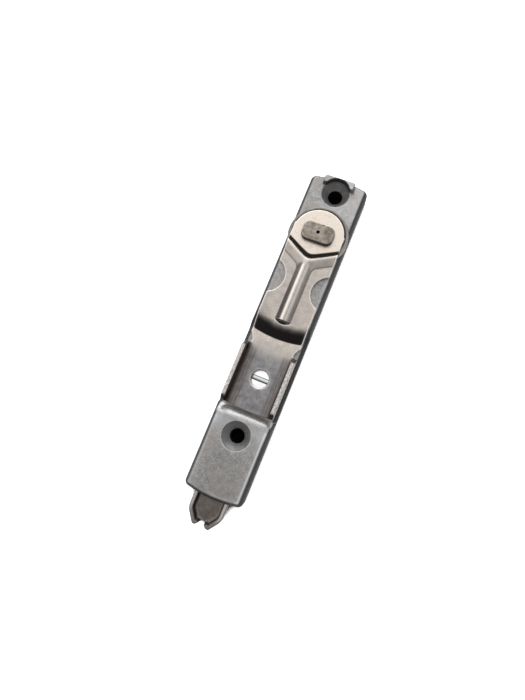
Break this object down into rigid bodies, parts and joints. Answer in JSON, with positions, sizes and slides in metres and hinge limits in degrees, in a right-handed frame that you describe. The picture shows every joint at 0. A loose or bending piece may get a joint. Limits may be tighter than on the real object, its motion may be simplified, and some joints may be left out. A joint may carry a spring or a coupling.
{
  "type": "edge bolt",
  "caption": "Flat die-cast edge bolt: an in-plane lever turns a pinion that slides a forked bolt out of the end.",
  "frame": {"origin": "on the back face, midway between the two screw holes", "axes": "+X across the fitting, +Y towards the lever's pivot, +Z out of the face"},
  "size_m": [0.0222, 0.1362, 0.012],
  "materials": {
    "casting": "cast, satin",
    "lever_steel": "rolled and tumbled",
    "spindle_steel": "dull, oiled",
    "bolt_steel": "dull, bright edges",
    "plated_steel": "bright zinc plated",
    "spring_steel": "satin",
    "gear_steel": "sintered",
    "bronze": "sintered bronze"
  },
  "bodies": {
    "casing": {"housing": "casting", "back_cover": "plated_steel", "cover_rivets": "plated_steel", "cover_screw": "plated_steel", "cover_collar": "plated_steel", "spindle_bush": "bronze", "tail_bush": "bronze", "friction_spring": "spring_steel"},
    "lever_set": {"lever": "lever_steel", "spindle": "spindle_steel", "thrust_disc": "spindle_steel", "spring_washer": "spring_steel", "pinion": "gear_steel", "shim_washer": "spring_steel"},
    "bolt_set": {"bolt": "bolt_steel", "rack": "gear_steel", "rack_rivets": "plated_steel"}
  },
  "joints": [
    {"name": "lever_swing", "type": "hinge", "parent": "casing", "child": "lever_set", "pos_m": [0, 0.03, 0], "axis": [0, 0, 1], "range_deg": [0, 147]},
    {"name": "bolt_slide", "type": "slide", "parent": "casing", "child": "bolt_set", "axis": [0, 1, 0], "range_m": [0, 0.0113]}
  ],
  "couplings": [
    {"joint": "bolt_slide", "follows": "lever_swing", "m_per_rad": 0.0044}
  ]
}
